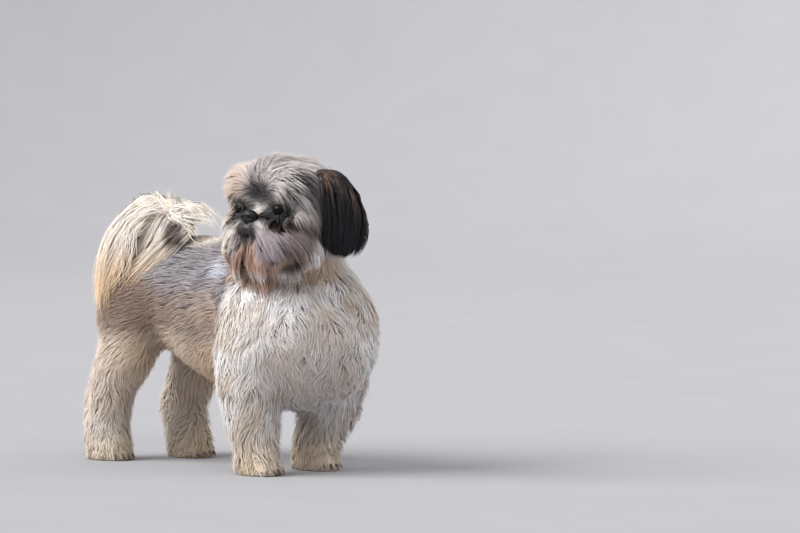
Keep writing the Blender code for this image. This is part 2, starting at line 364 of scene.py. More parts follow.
def sunk(mesh, steps=6):
    """The coat's outside taken in to the skin in steps, each followed by a little smoothing. Soles only
    draw in sideways, so that they stay on the floor.
    """
    for _ in range(steps):
        points, normals = points_of(mesh), points_of(mesh, "normal")
        normals[:, 2] *= ease(points[:, 2], 0.002, 0.02)
        sunk_points = points - normals * coat_depth(points)[:, None] / steps
        mesh = modified(moved(mesh, sunk_points), ("SMOOTH", {"factor": 0.5, "iterations": 4}))
    points = points_of(mesh)
    points[:, 2] = np.where(points[:, 2] < 0.004, 0.0, points[:, 2])
    return moved(mesh, points)


def torso():
    """The body with its head on, taken in to the skin, then cut off under the skull and closed there."""
    def cut(shape):
        bmesh.ops.bisect_plane(shape, geom=[*shape.verts, *shape.edges, *shape.faces], clear_outer=True,
                               plane_co=(-0.015, -0.105, 0.268), plane_no=(-0.15, -0.50, 1))
        bmesh.ops.holes_fill(shape, edges=[edge for edge in shape.edges if edge.is_boundary])

    return joined([sunk(coat_outline())], cut)


def skull():
    """The head under its hair: ellipsoids of middle and radii in its frame, the sided ones twice."""
    central = [
        ((0, 10, 13), (52, 50, 50)),  # the skull
        ((0, -16, 20), (42, 30, 34)),  # the brow
        ((0, -28, -12), (40, 24, 26)),  # the face
        ((0, -50.5, -13), (18.5, 15, 12.5)),  # the muzzle
        ((0, -51.5, -34.5), (15, 16.5, 7.5)),  # the chin
        ((0, -20, -34), (27, 34, 17)),  # the jaw
        ((0, -59.5, -9), (10.5, 8.5, 9.5)),  # the end of the muzzle
    ]
    sided = [
        ((28.5, -33.5, 1), (18, 16, 17)),  # an eye's mound
        ((38, -10, -20), (22, 30, 30)),  # a cheek
        ((10, -60.5, -22), (13, 13.5, 10.5)),  # an upper lip
    ]
    both = [((side * x, y, z), radii) for side in (-1, 1) for (x, y, z), radii in sided]
    return [ball(mm(middle), mm(radii)) for middle, radii in central + both]


def ear_flap(side):
    """A thin leather that folds out from beside the crown and hangs."""
    rows = mm([(36, 5, 44, 12, 5), (54, 11, 45, 21, 3.4), (68, 15, 27, 29, 3.2), (75, 17, 1, 32, 3.2),
               (76, 17, -27, 26, 3.2)])
    return limb(rows * [side, 1, 1, 1, 1], across=(0, 1, 0), head=True)


def toes():
    """Four toes at the front of each foot, the middle two ahead."""
    made = []
    for x, y in FEET:
        for place in TOES:
            middle = (x + place * 0.0088, y - (0.024 - 0.0035 * abs(place)), 0.0080)
            made.append(ball(middle, mm((5.4, 10, 7.8)), head=False))
    return made


def eye_middle(side):
    return EYE_PLACE * [side, 1, 1]


def round_gaze(side, angle, turn):
    """Unit vectors at this angle from an eye's gaze and this turn from its outer corner to its top."""
    axis = unit(EYE_GAZE * [side, 1, 1])
    up = unit(np.array([0, 0, 1.0]) - axis * axis[2])
    spoke = np.cos(turn)[..., None] * np.cross(axis, up) * side * -1 + np.sin(turn)[..., None] * up
    return np.cos(angle)[..., None] * axis + np.sin(angle)[..., None] * spoke


def lids():
    """The rims of both eyes: round an almond opening on the eyeball stands a lip whose section is a closed
    loop of eight points, each an angle back from the opening and a height over the ball. The right eye's
    lids are closer.
    """
    turn = turns(64)
    opening = 0.76 + 0.20 * np.cos(turn) ** 2 - 0.10 * np.maximum(np.sin(turn), 0)
    back = np.array([0.0, 0.04, 0.16, 0.40, 0.74, 0.74, 0.30, 0.06])
    over = mm([0.1, 1.1, 1.6, 1.5, -0.4, -1.6, -1.2, -0.4])
    quads = belts(len(turn) + 1, len(back))[:, TURNED] % (len(turn) * len(back))
    made = []
    for side, closer in ((-1, 0.22), (1, 0.0)):
        angle = opening[:, None] - closer + back
        points = round_gaze(side, angle, turn[:, None]) * (EYE_RADIUS + over)[None, :, None]
        made.append(outward(mesh_of("lids", to_world(points.reshape(-1, 3) + eye_middle(side)), quads)))
    return made


def skin_mesh():
    """Body, skull, ears, toes and tail welded into one surface, with the lids laid on it."""
    neck = mm([(1, -62, 200, 60, 55), (-1, -92, 240, 50, 50), (-10, -112, 275, 40, 44),
               (-22, -120, 305, 34, 38)])
    thick = mm([15, 12, 9.5, 8.5, 7.5, 6])
    parts = [torso(), limb(neck), limb(np.column_stack([TAIL_CORE, thick, thick])), *skull(), *toes(),
             ear_flap(-1), ear_flap(1)]
    body = modified(joined(parts), ("REMESH", {"mode": "VOXEL", "voxel_size": 0.0025}),
                    ("SMOOTH", {"factor": 0.5, "iterations": 4}))
    return joined([body, *lids()])


def unwrapped(piece):
    """Lays the piece out flat on a map named OFBake."""
    piece.data.uv_layers.new(name="OFBake")
    bpy.context.view_layer.objects.active = piece
    piece.select_set(True)
    bpy.ops.object.mode_set(mode="EDIT")
    bpy.ops.mesh.select_all(action="SELECT")
    bpy.ops.uv.smart_project(angle_limit=math.radians(66), island_margin=0.002)
    bpy.ops.object.mode_set(mode="OBJECT")
    piece.select_set(False)


# ---------------------------------------------------------------- the coat

GUIDE_STEPS = 12  # steps of a tuft's path
PATCH = 0.003  # how much of the map's width each strand's own patch covers
PROUDEST = 0.006  # how far a strand may stand out from the outline


class Ground:
    """The skin's triangles, for sowing roots on: corners, normals, places on the map and areas."""

    def __init__(self, mesh):
        mesh.calc_loop_triangles()
        count = len(mesh.loop_triangles)
        corner, loop = np.empty(count * 3, np.int32), np.empty(count * 3, np.int32)
        mesh.loop_triangles.foreach_get("vertices", corner)
        mesh.loop_triangles.foreach_get("loops", loop)
        flat = np.empty(len(mesh.loops) * 2)
        mesh.uv_layers["OFBake"].data.foreach_get("uv", flat)
        self.points = points_of(mesh)[corner].reshape(-1, 3, 3)
        self.normals = points_of(mesh, "normal")[corner].reshape(-1, 3, 3)
        self.maps = flat.reshape(-1, 2)[loop].reshape(-1, 3, 2)
        self.middles = self.points.mean(axis=1)
        a, b, c = self.points.transpose(1, 0, 2)
        self.areas = np.linalg.norm(np.cross(b - a, c - a), axis=1) / 2

    def sown(self, weights, count, chance):
        """Roots spread evenly over the weighted area: their points, normals and places on the map."""
        total = np.cumsum(weights * self.areas)
        draw = (np.arange(count) + chance.random(count)) / count * total[-1]
        face = np.minimum(np.searchsorted(total, draw), len(total) - 1)
        a, b = chance.random((2, count))
        a, b = np.where(a + b > 1, 1 - a, a), np.where(a + b > 1, 1 - b, b)
        share = np.stack([1 - a - b, a, b], -1)[..., None]
        return [(values[face] * share).sum(axis=1) for values in (self.points, self.normals, self.maps)]


def nearest(points, centres, count):
    """The centres nearest to each point, the nearest first, and the share of each: all the shares add up to
    1, and the farthest has none, so that they change smoothly from point to point. A block of points is
    done at a time.
    """
    found, shares = [], []
    for block in np.array_split(points, max(1, len(points) * len(centres) // 4_000_000)):
        square = (block**2).sum(1)[:, None] + (centres**2).sum(1)[None] - 2 * block @ centres.T
        near = np.argpartition(square, count, axis=1)[:, :count]
        far = np.sqrt(np.take_along_axis(square, near, 1).clip(1e-10))
        order = far.argsort(axis=1)
        far = np.take_along_axis(far, order, 1)
        share = ((far[:, -1:] - far) / far + 1e-6) ** 2
        found.append(np.take_along_axis(near, order, 1))
        shares.append(share / share.sum(axis=1, keepdims=True))
    return np.concatenate(found), np.concatenate(shares)


def guides(roots, normals, field, lie, lengths, rise, under, lift, slant, over=0.005):
    """The path of the middle of each tuft, the way outwards along it, and how many of its steps it takes.
    It is walked out from the root in equal steps: each goes along the lie of the coat, square to the way
    outwards, and climbs towards the coat's outline, which it nears as the power rise of the way gone. A
    short tuft stays lower: it climbs by no more than lift of its length. Where its root is deep, it is at
    least slant times as long as that. The way outwards never turns about between two steps, so that a tuft
    stays on its own side of a thin fold. Where the lie leads straight out, as under the belly, hair hangs
    past the outline by over.
    """
    path, ways = [roots], [normals]
    start = -field.way_out(roots, normals)
    share = 0.35 * lift + 0.65 * lift * ease(lengths, 0.010, 0.028)
    lengths = np.where(lengths > 0.016, np.maximum(lengths, np.minimum(-slant * start, 0.055)), lengths)
    end = np.minimum(-under, start + share * lengths)
    step = lengths / GUIDE_STEPS
    for k in range(1, GUIDE_STEPS + 1):
        here, before = path[-1], ways[-1]
        depth, out = field.at(here)
        agree = ease((out * before).sum(1), -0.3, 0.5)[:, None]
        out = unit(out * agree + before * (1.01 - agree))
        depth = np.where(depth < 0, -field.way_out(here, out), depth)
        ahead = unit(lie(here))
        straight = (ahead * out).sum(1)
        want = start + (end + over * ease(straight, 0.4, 0.9) - start) * (k / GUIDE_STEPS) ** rise
        climb = np.clip(want - depth, -0.7 * step, 0.9 * step)
        ahead = ahead - out * straight[:, None]
        along = np.sqrt(step**2 - climb**2) * ease(np.linalg.norm(ahead, axis=1), 0.0, 0.3)
        path.append(here + out * climb[:, None] + unit(ahead) * along[:, None])
        ways.append(out)
    return np.stack(path, 1), np.stack(ways, 1), np.full(len(roots), float(GUIDE_STEPS))


def streamed(roots, normals, streams, ends, mixing, chance):
    """The same for tufts that fall in streams. Each stream is a row of ellipses down the middle of a fall
    of hair, the depth of which faces outer. A tuft joins a stream whose start is near, at the row that is
    nearest to its root, then keeps its place across the outer side all the way down: its root's own place,
    or a random one to the share mixing.
    """
    starts = np.array([rows[0, :3] for _, _, rows in streams])
    share = np.array([share for share, _, _ in streams])
    near = np.exp(-np.linalg.norm(roots[:, None] - starts, axis=2) / 0.012) * share + 1e-12
    chosen = np.cumsum(near, axis=1) / near.sum(axis=1, keepdims=True) < chance.random((len(roots), 1))
    pick = chosen.sum(axis=1)
    across = chance.uniform(-1, 1, len(roots))
    over = chance.uniform(0.60, 1.0, len(roots))
    last = 240  # of the rows that a fall is divided into
    latest = round(220 - 200 * mixing)  # the last of them that a tuft may start at
    path, ways = np.empty((2, len(roots), GUIDE_STEPS + 1, 3))
    gone = np.linspace(0, 1, GUIDE_STEPS + 1)
    for k, (_, outer, rows) in enumerate(streams):
        mine = pick == k
        rows = along_path(rows, last + 1)
        ahead = unit(np.gradient(rows[:, :3], axis=0))
        deep = unit(outer - ahead * (ahead @ outer)[:, None])
        begin = np.linalg.norm(roots[mine][:, None] - rows[None, :, :3], axis=2).argmin(axis=1)[:, None]
        begin = np.minimum(begin, latest)
        stop = np.rint(begin + (last - begin) * gone).astype(int)
        first, wide_first = rows[begin[:, 0]], np.cross(ahead, deep)[begin[:, 0]]
        own = ((roots[mine] - first[:, :3]) * wide_first).sum(axis=1) / first[:, 3]
        across[mine] = np.clip(own * (1 - mixing) + across[mine] * mixing, -1, 1)
        rows, deep, wide = rows[stop], deep[stop], np.cross(ahead, deep)[stop]
        a = across[mine][:, None, None]
        b = (over[mine] * np.sqrt(1 - across[mine] ** 2))[:, None, None]
        path[mine] = rows[..., :3] + a * rows[..., 3:4] * wide + b * rows[..., 4:5] * deep
        ways[mine] = unit(a * wide / rows[..., 3:4] + b * deep / rows[..., 4:5])
    joining = 1 - ease(gone, 0.0, 0.32)
    path += (roots - path[:, 0])[:, None] * joining[:, None]
    ways = unit(ways + normals[:, None] * joining[:, None])
    return path, ways, GUIDE_STEPS * chance.uniform(*ends, len(roots)) * (1 - 0.16 * across**2)


def locks(name, roots, clumps, finish, slot, seed, growth=(), streams=(), *, rings, hug, wave, pitch, wide,
          stray=0.0012, rise=0.8, under=0.0, lift=0.6, slant=0.0, carry=0.3, reach=(0.55, 1.05),
          ends=(0.62, 1.0), mixing=1.0, bulge=0.3):
    """A piece of coat. Each strand follows a blend of the guides of the tufts round it, is drawn in towards
    its own tuft's guide by hug at the tip, swings in a sine of height wave once every pitch, in step with
    the tufts round it, strays a little, and is pulled back where it would stand out from the outline. It
    takes its colour from its root's place, moved along with the strand by the share carry.
    """
    points, normals, maps = roots
    normals = unit(normals)
    chance = np.random.default_rng(seed)
    count = len(points)
    heart = chance.choice(count, clumps, replace=False)
    if streams:
        guide, ways, taken = streamed(points[heart], normals[heart], streams, ends, mixing, chance)
        near, share = nearest(points, points[heart], 2)
        share = np.ones_like(share) * [1, 0]
    else:
        field, lie, length = growth
        lengths = length(points[heart]) * chance.uniform(0.8, 1.12, clumps)
        guide, ways, taken = guides(points[heart], normals[heart], field, lie, lengths, rise, under, lift,
                                    slant)
        near, share = nearest(points, points[heart], 5)
    tuft = near[:, 0]
    span = np.linalg.norm(np.diff(guide, axis=1), axis=2).sum(axis=1)
    t = np.linspace(0, 1, rings + 1) ** 1.2
    reach = chance.uniform(*reach, count)
    place = np.clip(t[None] * reach[:, None], 0, 1) * taken[tuft][:, None]
    low = np.minimum(place.astype(int), guide.shape[1] - 2)
    part = (place - low)[..., None]

    def sampled(table, which):
        return table[which[:, None], low] * (1 - part) + table[which[:, None], low + 1] * part

    def blended(table):
        return sum(share[:, k, None, None] * sampled(table, near[:, k]) for k in range(share.shape[1]))

    path = points[:, None] + blended(guide - guide[:, :1])
    out = unit(blended(ways))
    gather = (hug * chance.uniform(0.5, 1.25, count))[:, None] * t[None] ** 1.3
    path += (sampled(guide, tuft) - path) * gather[..., None]
    side = unit(np.cross(unit(np.gradient(path, axis=1)), out))
    slow = drift(guide[:, GUIDE_STEPS // 2], 0.07, seed)
    phase = (3.0 * slow[:, 0])[tuft] + chance.normal(0, 0.25, count)
    angle = ((span * taken / GUIDE_STEPS)[tuft] * reach / pitch)[:, None] * t[None] * 2 * math.pi
    swing = (wave * (1 + 0.45 * slow[:, 1])[tuft])[:, None] * t[None] ** 0.7
    path += side * (swing * (np.sin(angle + phase[:, None]) - np.sin(phase)[:, None]))[..., None]
    path += chance.normal(0, stray, (count, 1, 3)) * (t[None, :, None] ** 1.6)
    if growth:
        past, way = field.at(path.reshape(-1, 3))
        path -= (way * np.maximum(past - PROUDEST, 0)[:, None]).reshape(path.shape)
    path[..., 2] = np.maximum(path[..., 2], 0.0006 + 0.0012 * (1 - t)[None])
    lot = 0.5 * chance.random(clumps)[tuft] + 0.5 * chance.random(count)
    places = points[:, None] + (path - points[:, None]) * carry
    wides = wide * chance.uniform(0.7, 1.25, count)
    strands(name, path, out, maps, places, lot, wides, bulge, finish)


def strands(name, path, out, maps, places, lot, wide, bulge, finish, flat=0.4):
    """Closed three-sided tapering prisms along the paths, one mesh in all, with each strand's own small
    patch on the map, its root's place, how far along it each point is and its lot. The normals face
    outwards with the tuft, and by bulge they also turn round the strand.
    """
    count, stops = path.shape[:2]
    rings = stops - 1
    t = np.linspace(0, 1, stops)
    ahead = unit(np.gradient(path, axis=1))
    side = unit(np.cross(ahead, out))
    rise = np.cross(side, ahead)
    girth = (wide[:, None] * (1 - t[:rings] ** 2.2 * 0.85)[None])[..., None, None] / 2
    turn = np.array([0.5, 7 / 6, 11 / 6]) * math.pi
    corner = np.cos(turn)[:, None] * side[:, :rings, None]
    corner = corner + flat * np.sin(turn)[:, None] * rise[:, :rings, None]
    ring = path[:, :rings, None] + girth * corner
    points = np.concatenate([ring.reshape(count, -1, 3), path[:, -1:]], axis=1)
    each = points.shape[1]
    base = np.arange(count)[:, None, None] * each
    quads = (base + belts(rings, 3)[None, :, TURNED]).reshape(-1, 4)
    top = (rings - 1) * 3
    ends = np.array([[0, 1, 2], *([top + (k + 1) % 3, top + k, each - 1] for k in range(3))])
    mesh = mesh_of(name, points.reshape(-1, 3), quads, (base + ends[None]).reshape(-1, 3))
    along = np.append(np.repeat(t[:rings], 3), 1.0)
    spread = np.append(np.tile([0.0, 0.5, 1.0], rings), 0.5)
    patch = maps[:, None] + (np.stack([spread, along], -1)[None] - 0.5) * PATCH
    vertex = np.empty(len(mesh.loops), np.int32)
    mesh.loops.foreach_get("vertex_index", vertex)
    flat_map = patch.reshape(-1, 2)[vertex].clip(0, 1)
    mesh.uv_layers.new(name="OFBake").data.foreach_set("uv", flat_map.ravel())
    of_ring = [3] * rings + [1]
    corner = np.concatenate([corner.reshape(count, -1, 3), rise[:, -1:]], axis=1)
    soft = unit(unit(corner) * bulge + np.repeat(unit(rise + out), of_ring, axis=1))
    for title, kind, key, values in (("place", "FLOAT_VECTOR", "vector", np.repeat(places, of_ring, axis=1)),
                                     ("along", "FLOAT", "value", np.tile(along, count)),
                                     ("lot", "FLOAT", "value", np.repeat(lot, each))):
        target = mesh.attributes.new(title, kind, "POINT").data
        target.foreach_set(key, values.astype(np.float32).ravel())
    shown(name, mesh, finish)
    mesh.normals_split_custom_set_from_vertices(soft.reshape(-1, 3))


# ---------------------------------------------------------------- materials

class Sock:
    """A shader socket that takes part in sums: each operator adds the Math node that it needs."""

    def __init__(self, paint, socket):
        self.paint, self.socket = paint, socket

    def math(self, operation, *values):
        return self.paint.node("ShaderNodeMath", {"operation": operation}, values)

    def __add__(self, other):
        return self.math("ADD", self, other)

    def __sub__(self, other):
        return self.math("SUBTRACT", self, other)

    def __rsub__(self, other):
        return self.math("SUBTRACT", other, self)

    def __mul__(self, other):
        return self.math("MULTIPLY", self, other)

    __radd__, __rmul__ = __add__, __mul__


class Paint:
    """A material, and the nodes that are added to it."""

    def __init__(self, name, **fixed):
        self.material = bpy.data.materials.new(name)
        self.material.use_nodes = True
        self.tree = self.material.node_tree
        self.shader = self.tree.nodes["Principled BSDF"]
        for title, value in fixed.items():
            self.shader.inputs[title.replace("_", " ")].default_value = value

    def node(self, kind, settings, inputs=(), output=0):
        """Any node: its settings first, then the values or links of its sockets."""
        made = self.tree.nodes.new(kind)
        for key, value in settings.items():
            setattr(made, key, value)
        for key, value in inputs.items() if isinstance(inputs, dict) else enumerate(inputs):
            if isinstance(value, Sock):
                self.tree.links.new(value.socket, made.inputs[key])
            else:
                made.inputs[key].default_value = value
        return Sock(self, made.outputs[output])

    def feed(self, title, value):
        self.tree.links.new(value.socket, self.shader.inputs[title])

    def attribute(self, name, output):
        settings = {"attribute_name": name, "attribute_type": "GEOMETRY"}
        return self.node("ShaderNodeAttribute", settings, (), output)

    def here(self):
        return self.node("ShaderNodeTexCoord", {}, (), "Object")

    def in_head(self, place):
        """A place in the world, as the head's frame has it."""
        frame_of = {"Location": HEAD.translation[:], "Rotation": (0.0, 0.0, HEAD.to_euler().z)}
        return self.node("ShaderNodeMapping", {"vector_type": "TEXTURE"}, {"Vector": place, **frame_of})

    def step(self, value, start, end):
        """0 before start, 1 after end, smooth between them."""
        smooth = {"interpolation_type": "SMOOTHSTEP"}
        return self.node("ShaderNodeMapRange", smooth, [value, start, end, 0.0, 1.0])

    def noise(self, place, scale, detail=2.0, output=0):
        sockets = {"Vector": place, "Scale": scale, "Detail": detail}
        return self.node("ShaderNodeTexNoise", {}, sockets, output)

    def parts(self, place):
        split = self.node("ShaderNodeSeparateXYZ", {}, [place]).socket.node
        return [Sock(self, output) for output in split.outputs]

    def vector(self, operation, *values, output=0):
        return self.node("ShaderNodeVectorMath", {"operation": operation}, values, output)

    def shaken(self, place, blur, size):
        """The place, moved by the vector blur times size."""
        return self.vector("ADD", place, self.vector("SCALE", blur, (0, 0, 0), (0, 0, 0), size))

    def near(self, place, middle, radii, soft=0.35):
        """1 inside an ellipsoid and 0 outside it, with a soft edge; middle and radii are in millimetres."""
        scaled = self.vector("DIVIDE", self.vector("SUBTRACT", place, mm(middle)), mm(radii))
        return self.step(self.vector("LENGTH", scaled, output="Value"), 1 + soft, 1 - soft)

    def mix(self, share, under, over, blend="MIX"):
        settings = {"data_type": "RGBA", "blend_type": blend}
        return self.node("ShaderNodeMix", settings, {0: share, 6: under, 7: over}, 2)

    def spotted(self, place, colour, spots, soft=0.35):
        """The colour with these spots over it: each has a middle, radii, a tone and a strength."""
        for middle, radii, shade, share in spots:
            colour = self.mix(self.near(place, middle, radii, soft) * share, colour, tone(*shade))
        return colour

    def shaded(self, colour, shade):
        """The colour times a grey."""
        grey = self.node("ShaderNodeCombineColor", {}, [shade, shade, shade])
        return self.mix(1.0, colour, grey, "MULTIPLY")

    def bump(self, height, strength, distance):
        sockets = {"Strength": strength, "Distance": distance, "Height": height}
        self.feed("Normal", self.node("ShaderNodeBump", {}, sockets))


def tone(*levels):
    """A colour as a screen shows it, red, green and blue from 0 to 255, made linear."""
    return (*[v / 255 / 12.92 if v < 11 else ((v / 255 + 0.055) / 1.055) ** 2.4 for v in levels], 1.0)


# Spots on the body: some hold painted shade and painted light as well as the coat's own colour, as each
# says.
BODY_SPOTS = [
    ((-55, 125, 200), (60, 80, 38), (132, 108, 92), 0.9),  # rump: tan brown of its own, darkened further as painted shadow of the tail
    ((-80, 45, 140), (30, 32, 32), (232, 212, 190), 0.75),  # thigh: cream of its own, lightened as painted light on its front
    ((-67, -16, 112), (22, 26, 14), (140, 104, 78), 0.6),  # belly
    ((-30, -165, 140), (52, 60, 60), (198, 184, 176), 0.7),  # chest: mostly painted shade over the lower chest, with some beige of its own
    ((-14, -164, 257), (40, 36, 22), (232, 200, 168), 0.75),  # neck: cream tan of its own, with painted shade under the head
    ((-60, -44, 246), (40, 15, 16), (212, 216, 228), 0.6),  # withers: a white patch of its own, tinted blue as a painted highlight
]
FACE_SPOTS = [  # on both sides of the head, in its frame
    ((46, -12, 40), (26, 34, 30), (208, 200, 200), 0.75),  # temple
    ((58, -30, -36), (26, 32, 30), (100, 84, 84), 0.9),  # cheek
    ((50, -28, -64), (28, 30, 20), (122, 100, 90), 0.9),  # jowl
    ((4, -58, -63), (45, 34, 29), (182, 144, 124), 1.0),  # beard
    ((31, -60, -38), (21, 22, 23), (172, 158, 163), 1.0),  # moustache
    ((50, -40, -71), (18, 19, 11), (56, 44, 38), 0.9),  # the beard's corner
    ((29, -53, -1), (25, 20, 14.5), (20, 17, 18), 1.0),  # eye
    ((38, -49, -18), (21, 19, 8), (60, 44, 38), 0.95),  # under the eye
    ((42, -48, 16), (12, 11, 5), (134, 106, 86), 0.6),  # brow
    ((0, -58, 19), (18, 16, 16), (38, 34, 35), 0.95),  # forehead
    ((14, -56, 3), (12, 18, 12), (26, 22, 23), 1.0),  # stop
    ((0, -65, 5.8), (12.5, 18, 9.5), (236, 226, 220), 1.0),  # bridge
    ((0, -74, -24), (18, 16, 14.8), (26, 22, 23), 1.0),  # lips
    ((0, -76, -16.5), (6, 9, 3.2), (128, 118, 116), 0.6),  # the groove under the nose
]
RIGHT_SPOTS = [  # on the head's right side alone
    ((-48, -50, -34), (32, 42, 28), (254, 240, 228), 1.0),  # cheek
    ((-54, -42, -62), (20, 34, 20), (206, 172, 142), 1.0),  # jowl
    ((-34, -52, -58), (10, 16, 15), (64, 50, 42), 0.85),  # the beard's corner
    ((-36, -48, 13), (18, 16, 8), (66, 54, 48), 0.8),  # brow
    ((-30, -53, -1), (17, 18, 13), (24, 20, 20), 1.0),  # eye
]


def tail_colours(paint, place, lot):
    """Cream and white, tanner towards the ends, with a dark fleck where the plume parts: partly brown hair,
    partly painted shade in the parting.
    """
    x, y, z = paint.parts(place)
    pale = paint.mix(paint.step(lot, 0.40, 0.85), tone(250, 243, 236), tone(238, 216, 192))
    pale = paint.mix(paint.step(z + 0.03 * lot, 0.298, 0.222) * 0.85, pale, tone(255, 214, 162))
    # the dark fleck: partly brown hair of its own, partly painted shade in the gap where the plume parts
    across = 0.766 * x - 0.643 * y + 0.0815
    fleck_and_parting_shade = paint.step(x.math("ABSOLUTE", across), 0.017, 0.006) * paint.step(x, -0.014, -0.030)
    fleck_and_parting_shade = fleck_and_parting_shade * paint.step(x.math("ABSOLUTE", z - 0.283), 0.024, 0.008)
    return paint.mix(fleck_and_parting_shade * paint.step(lot, 0.05, 0.40) * 0.95, pale, tone(98, 76, 70))


def ear_colours(paint, place, lot):
    """Black, with brown and tan hairs among it over the upper rear of the ear."""
    _, y, z = paint.parts(paint.in_head(place))
    rear = paint.step(z + 1.2 * y + 0.03 * lot, 0.058, 0.092)
    rear = z.math("MAXIMUM", rear, paint.step(z + 0.02 * lot, 0.036, 0.058) * 0.7)
    brown = paint.mix(paint.step(lot, 0.50, 0.85), tone(58, 44, 40), tone(150, 120, 102))
    black = paint.mix(lot, tone(8, 8, 13), tone(26, 24, 29))
    return paint.mix(rear * paint.step(lot, 0.30, 0.50), black, brown)


def body_colours(paint, place, blur, lot):
    """White, greyer in patches and warmer towards the feet as painted light bounced up off the floor, with
    cream haunches and a sable saddle; some of its spots are painted shade and light.
    """
    _, y, z = paint.parts(paint.shaken(place, blur, 0.022))
    patchy = paint.noise(place, 28.0, 3.0)
    white = paint.mix(paint.step(patchy + 0.14 * lot, 0.42, 0.80), tone(243, 240, 239), tone(216, 200, 186))
    # painted warm bounce light from the floor, stronger towards the feet
    white = paint.mix(paint.step(z, 0.095, 0.010) * 0.75, white, tone(208, 186, 156))
    haunch = paint.step(y, 0.055, 0.110) * paint.step(z, 0.030, 0.090)
    colour = paint.mix(haunch * 0.85, white, paint.mix(lot, tone(238, 218, 198), tone(204, 182, 162)))
    low_flank = paint.step(y, -0.070, -0.040) * paint.step(z, 0.185, 0.150)
    colour = paint.mix(low_flank * paint.step(y, 0.150, 0.090) * 0.9, colour, tone(208, 180, 152))
    saddle = paint.step(y, -0.088, -0.072) * paint.step(z, 0.140, 0.175) * paint.step(y, 0.190, 0.120)
    dark_hair = paint.step(lot + paint.noise(place, 60.0, 2.0), 0.98, 1.25)
    lower = paint.step(z + 0.05 * patchy, 0.262, 0.215)
    pale_hair = paint.mix(lower, tone(151, 145, 149), tone(180, 156, 138))
    colour = paint.mix(saddle, colour, paint.mix(dark_hair * 0.8, pale_hair, tone(104, 98, 102)))
    colour = paint.spotted(place, colour, BODY_SPOTS)
    tail = paint.step(z, 0.262, 0.276) * paint.step(y, -0.02, 0.02)
    return colour, tail


def head_colours(paint, place, blur, lot, body):
    """Silver, with tan in it on the right, a masked face and black ears, over the body's colour."""
    head = paint.shaken(paint.in_head(place), blur, 0.010)
    x, y, z = paint.parts(head)
    beside = x.math("ABSOLUTE", x)
    both = paint.node("ShaderNodeCombineXYZ", {}, [beside, y, z])
    patchy = paint.noise(place, 28.0, 3.0)
    streak = paint.step(lot + 0.14 * paint.step(beside, 0.030, 0.008), 0.55, 0.92)
    silver = paint.mix(patchy, tone(226, 214, 204), tone(184, 178, 184))
    silver = paint.mix(streak, silver, tone(130, 121, 122))
    warm = paint.step(x, -0.006, -0.036) * paint.step(y, 0.030, -0.030) * paint.step(lot, 0.95, 0.55)
    face = paint.mix(warm, silver, tone(226, 198, 170))
    face = paint.spotted(both, face, FACE_SPOTS, 0.3)
    face = paint.spotted(head, face, RIGHT_SPOTS)
    low_face = paint.step(z, -0.012, -0.030)
    face = paint.mix(low_face * paint.step(lot, 0.66, 0.90) * 0.45, face, tone(104, 78, 70))
    face = paint.mix(low_face * paint.step(lot, 0.30, 0.08) * 0.35, face, tone(232, 220, 212))
    on_head = paint.near(head, (0, -10, -2), (90, 92, 94), 0.06)
    on_head = on_head * (1.0 - paint.step(y, -0.036, -0.018) * paint.step(z, -0.030, -0.046))
    colour = paint.mix(on_head, body, face)
    ear = paint.near(both, (80, 16, 2), (26, 46, 62), 0.12)
    ear = ear.math("MAXIMUM", ear, paint.near(both, (62, 14, 46), (17, 27, 14), 0.12))
    return paint.mix(ear, colour, ear_colours(paint, place, lot))


def markings(paint, place, lot):
    """The dog's colours by place: the body's, the head's over them, and over those the pale tail. lot, from
    0 to 1, gives each strand its own share of dark or light.
    """
    blur = paint.vector("SUBTRACT", paint.noise(place, 45.0, output=1), (0.5, 0.5, 0.5))
    body, tail = body_colours(paint, place, blur, lot)
    colour = head_colours(paint, place, blur, lot, body)
    return paint.mix(tail, colour, tail_colours(paint, place, lot))


def coat_finish(name, roughness, sheen, colours, gloss=0.5):
    """Hair: the colours of its place, darker at the root, lighter at the tip, each strand a little apart."""
    paint = Paint(name, Roughness=roughness, Specular_IOR_Level=gloss, Sheen_Weight=sheen,
                  Sheen_Roughness=0.4)
    place, lot, along = paint.attribute("place", 1), paint.attribute("lot", 2), paint.attribute("along", 2)
    shade = 0.92 + 0.08 * paint.step(along, 0.0, 0.5) + 0.12 * (lot - 0.5)
    paint.feed("Base Color", paint.shaded(colours(paint, place, lot), shade))
    return paint.material


def skin_finish():
    """Skin under short down: the coat's markings in shade, with fine hairs and pores as bumps."""
    paint = Paint("skin", Roughness=0.62)
    grain = paint.noise(paint.here(), 420.0, 3.0)
    paint.feed("Base Color", paint.shaded(markings(paint, paint.here(), grain), 0.85 + 0.25 * grain))
    paint.bump(grain, 0.5, 0.0008)
    return paint.material


def eye_finish():
    """A dark iris round a black pupil under a wet cornea: gaze is the angle from the way the eye looks."""
    paint = Paint("eye", Roughness=0.5, Specular_IOR_Level=0.05, Coat_Weight=0.18, Coat_Roughness=0.03)
    gaze = paint.attribute("gaze", 2)
    colour = paint.mix(paint.noise(paint.here(), 900.0, 3.0), tone(13, 9, 7), tone(6, 4, 4))
    colour = paint.mix(paint.step(gaze, 0.30, 0.24), colour, tone(4, 3, 3))
    colour = paint.mix(paint.step(gaze, 0.74, 0.80), colour, tone(24, 16, 14))
    paint.feed("Base Color", paint.mix(paint.step(gaze, 1.10, 1.25), colour, tone(96, 74, 68)))
    return paint.material


